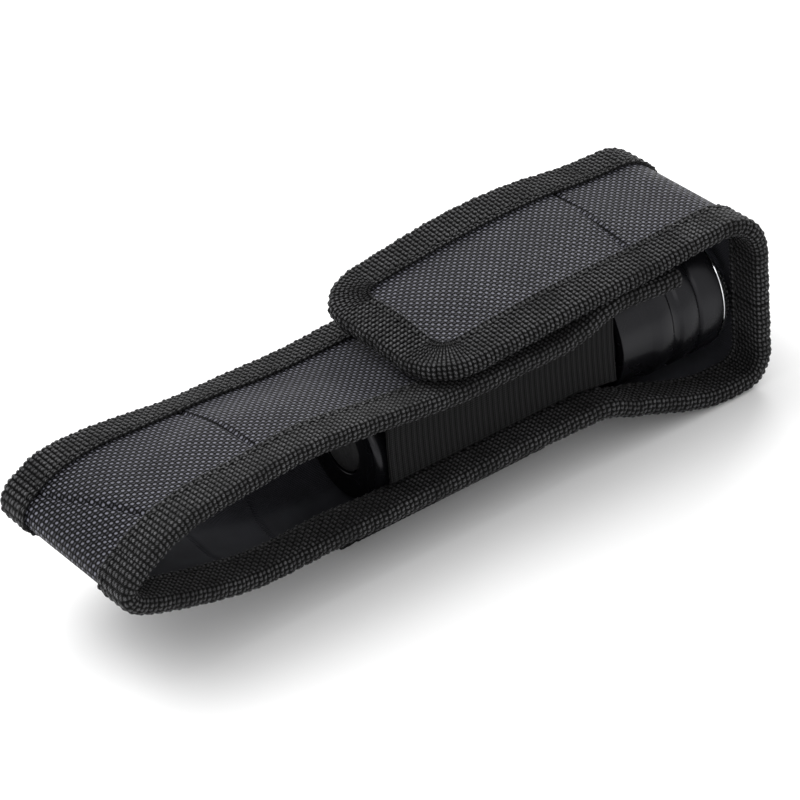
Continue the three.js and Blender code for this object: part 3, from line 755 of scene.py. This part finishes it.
def add_belt_loop():
    """A webbing strip sewn to the back at both ends."""
    x = np.linspace(-24, 34, 200)
    y = np.linspace(-8, 8, 41)
    gx, gy = np.meshgrid(x, y, indexing="ij")
    pick = 0.12 * np.abs(np.sin(math.pi * gx / 1.4)) + 0.08 * np.cos(gy * 2 * math.pi / 1.3)
    hem = np.maximum(1 - smooth(gx, -17, -14.5), smooth(gx, 24.5, 27))
    sewn = np.maximum(bell(gx, -20, 0.5), bell(gx, 30, 0.5))
    bottom = np.stack([gx, gy, 0.16 - pick + 0.3 * sewn], axis=-1)
    bottom[..., 2] = np.maximum(bottom[..., 2], 0.0)
    top = np.stack([gx, gy, 1.5 + 1.8 * hem + pick * 0.5], axis=-1)
    uv = np.stack([gx, gy], axis=-1)
    piece = grid_slab("belt_webbing", top, bottom, uv)
    dress(piece, "webbing", "webbing", body="pouch", replaces=["belt_loop"])


def add_pile(name, body, material, end, sign, node):
    """A rectangle of hook or loop tape on a panel, with an uneven pile, sewn round its edge."""
    x, y = np.linspace(0, 24, 97), np.linspace(-11, 11, 89)
    gx, gy = np.meshgrid(x, y, indexing="ij")
    tuft = 0.16 * np.sin(gx * 5.3 + 2 * np.sin(gy * 1.7)) * np.sin(gy * 6.1 + 1.5 * np.sin(gx * 2.3))
    rim = np.minimum(np.minimum(gx, 24 - gx), np.minimum(gy + 11, 11 - gy))
    edge = smooth(rim, 0.0, 0.8) * (1 - 0.5 * bell(rim, 1.6, 0.4))
    s = end - 24 + gx
    face = surface(s, gy, sign * (HALF_T + 0.9 + (0.75 + tuft) * edge))
    base = surface(s, gy, np.full_like(s, sign * (HALF_T + 0.2)))
    top, bottom = (face, base) if sign > 0 else (base, face)
    piece = grid_slab(name, bottom, top, np.stack([gx, gy], axis=-1))
    dress(piece, material, "hook_and_loop", body=body, replaces=[node])


add_elastic("left", 1)
add_elastic("right", -1)
add_belt_loop()
add_pile("loop_tape", "pouch", "loop", STARTS[3] - 12, 1, "loop_patch")
add_pile("hook_tape", "flap", "hook", TOTAL - 12, -1, "hook_patch")


# ---- flashlight ----
def turned(name, outline, material, slot, body, node, around=128):
    """A smooth piece turned about the light's axis from an outline of (x, radius) pairs, in place of its
    faceted CAD node. Sharp corners of the outline get a small chamfer."""
    loop = []
    closed = outline[0][1] > 0
    total = len(outline)
    for i, (x, r) in enumerate(outline):
        before, after = outline[i - 1], outline[(i + 1) % total]
        if r == 0 or (not closed and i in (0, total - 1)):
            loop.append((x, r))
            continue
        here = Vector((x, r))
        for other in (before, after):
            step = Vector(other) - here
            cut = min(0.12, step.length * 0.3)
            loop.append(tuple(here + step.normalized() * cut))
    angles = np.linspace(0, 2 * math.pi, around, endpoint=False)
    points, faces, rings = [], [], []
    for x, r in loop:
        if r == 0:
            rings.append([len(points)] * around)
            points.append((x, 0, AXIS_Z))
            continue
        rings.append(list(range(len(points), len(points) + around)))
        points += [(x, r * math.cos(a), AXIS_Z + r * math.sin(a)) for a in angles]
    pairs = list(zip(rings, rings[1:])) + ([(rings[-1], rings[0])] if closed else [])
    area = sum(a[0] * b[1] - b[0] * a[1] for a, b in zip(loop, loop[1:] + loop[:1]))
    for a, b in pairs:
        for j in range(around):
            k = (j + 1) % around
            quad = [a[j], a[k], b[k], b[j]] if area < 0 else [a[j], b[j], b[k], a[k]]
            face = tuple(dict.fromkeys(quad))
            if len(face) > 2:
                faces.append(face)
    piece = make_object(name, points, faces)
    piece.data.set_sharp_from_angle(angle=math.radians(38))
    return dress(piece, material, slot, body=body, replaces=[node])


HEAD_REAR = 52.5
BEZEL_X = FRONT_X - 3.5
LENS_X = BEZEL_X - 1.9
CUP_R = 14.1
THREAD_R = 12.2
TUBE_BORE = 11.6


def add_head():
    outer = [(HEAD_REAR, HEAD_R - 0.9), (HEAD_REAR + 8.6, HEAD_R - 0.9), (HEAD_REAR + 11, HEAD_R)]
    for start, end in ((66.6, 69.8), (74.2, 75.6)):
        outer += [(start, HEAD_R), (start + 0.7, HEAD_R - 0.7), (end - 0.7, HEAD_R - 0.7), (end, HEAD_R)]
    front = BEZEL_X - 0.2
    outer += [(front, HEAD_R), (front, CUP_R + 0.9), (LENS_X - 0.8, CUP_R + 0.9), (LENS_X - 0.8, CUP_R),
              (64.5, CUP_R), (64.5, THREAD_R + 0.3), (HEAD_REAR, THREAD_R + 0.3)]
    turned("head_turned", outer, "anodised", "anodised", "light", "head_shell")
    bezel = [(BEZEL_X + 0.1, CUP_R - 0.4), (FRONT_X, CUP_R - 0.4), (FRONT_X, HEAD_R - 2.0),
             (FRONT_X - 1.2, HEAD_R - 1.0), (FRONT_X - 2.9, HEAD_R), (BEZEL_X + 0.1, HEAD_R)]
    turned("bezel_turned", bezel, "bezel", "bezel", "light", "bezel_ring")
    lens = [(LENS_X, 0), (LENS_X, CUP_R + 0.5), (BEZEL_X - 0.2, CUP_R + 0.5), (BEZEL_X - 0.2, 0)]
    turned("lens_disc", lens, "glass", "glass", "light", "lens")


def add_tube_and_cap():
    rear, front = 3.3, HEAD_REAR - 0.3
    tube = [(-6.6, TUBE_BORE), (56.9, TUBE_BORE), (56.9, THREAD_R), (front, THREAD_R), (front, BODY_R),
            (rear, BODY_R), (rear, THREAD_R), (-6.6, THREAD_R)]
    turned("tube_turned", tube, "anodised", "anodised", "light", "body_tube")
    inner, button, rim = THREAD_R + 0.3, 6.2, TAIL_X
    cap = [(rim, button + 0.3), (rim, CAP_R - 0.8), (rim + 0.8, CAP_R), (rim + 4.2, CAP_R),
           (rim + 4.8, CAP_R - 0.6), (rim + 5.6, CAP_R - 0.6), (rim + 6.2, CAP_R), (3, CAP_R),
           (3, inner), (-8, inner), (-8, TUBE_BORE), (rim + 2.2, TUBE_BORE), (rim + 2.2, button + 0.3)]
    turned("tail_cap_turned", cap, "anodised", "anodised", "tail_cap", "tail_cap")
    back = rim + 2.5
    soft = [(rim - 0.6, 0), (rim - 0.55, 2.2), (rim - 0.4, 4.4), (rim + 0.3, button - 0.2),
            (back, button), (back, 8), (back + 0.9, 8), (back + 0.9, 0)]
    turned("tail_button_boot", soft, "rubber", "rubber", "tail_button", "tail_button")


add_head()
add_tube_and_cap()

INNER = {
    "lens_gasket": "rubber", "reflector": "mirror", "led_board": "circuit", "led_emitter": "emitter",
    "heat_sink": "brass", "driver_board": "circuit", "driver_spring": "wire", "cell_carrier_front": "plastic",
    "cell_carrier_rear": "plastic", "cell_1": "cell", "cell_2": "cell", "cell_3": "cell",
    "carrier_post": "plastic", "head_oring": "rubber", "tail_oring": "rubber", "switch_plunger": "plastic",
    "switch_retainer": "brass", "switch_body": "plastic", "tail_spring": "wire",
}
for node, material in INNER.items():
    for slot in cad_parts[node].material_slots:
        slot.material = MAT[material]


# ---- floor and light ----
def add_stage():
    mesh = bpy.data.meshes.new("floor")
    size, z = 3.0, -0.0002
    corners = [(-size, -size, z), (size, -size, z), (size, size, z), (-size, size, z)]
    mesh.from_pydata(corners, [], [(0, 1, 2, 3)])
    floor = bpy.data.objects.new("floor", mesh)
    bpy.context.scene.collection.objects.link(floor)
    n = Nodes("floor")
    n.set(Base_Color=(0.86, 0.86, 0.86), Roughness=0.9, Specular_IOR_Level=0.1)
    mesh.materials.append(n.material)


def add_light(name, place, aim, size, power):
    data = bpy.data.lights.new(name, "AREA")
    data.shape = "RECTANGLE"
    data.size, data.size_y = size
    data.energy = power
    light = bpy.data.objects.new(name, data)
    bpy.context.scene.collection.objects.link(light)
    light.location = place
    light.rotation_euler = (Vector(aim) - Vector(place)).to_track_quat("-Z", "Y").to_euler()


def add_world():
    world = bpy.data.worlds.new("studio")
    world.use_nodes = True
    background = world.node_tree.nodes["Background"]
    background.inputs[0].default_value = (1, 1, 1, 1)
    background.inputs[1].default_value = 0.95
    bpy.context.scene.world = world


add_stage()
add_world()
add_light("key", (-0.3, 0.3, 0.8), (0, 0, 0.02), (0.8, 0.6), 6.0)
add_light("side", (-0.5, -0.6, 0.35), (0, 0, 0.02), (0.5, 0.3), 0.5)
add_light("rim", (0.6, 0.5, 0.4), (0, 0, 0.03), (0.4, 0.3), 3.0)
bpy.context.scene.view_settings.view_transform = "Standard"
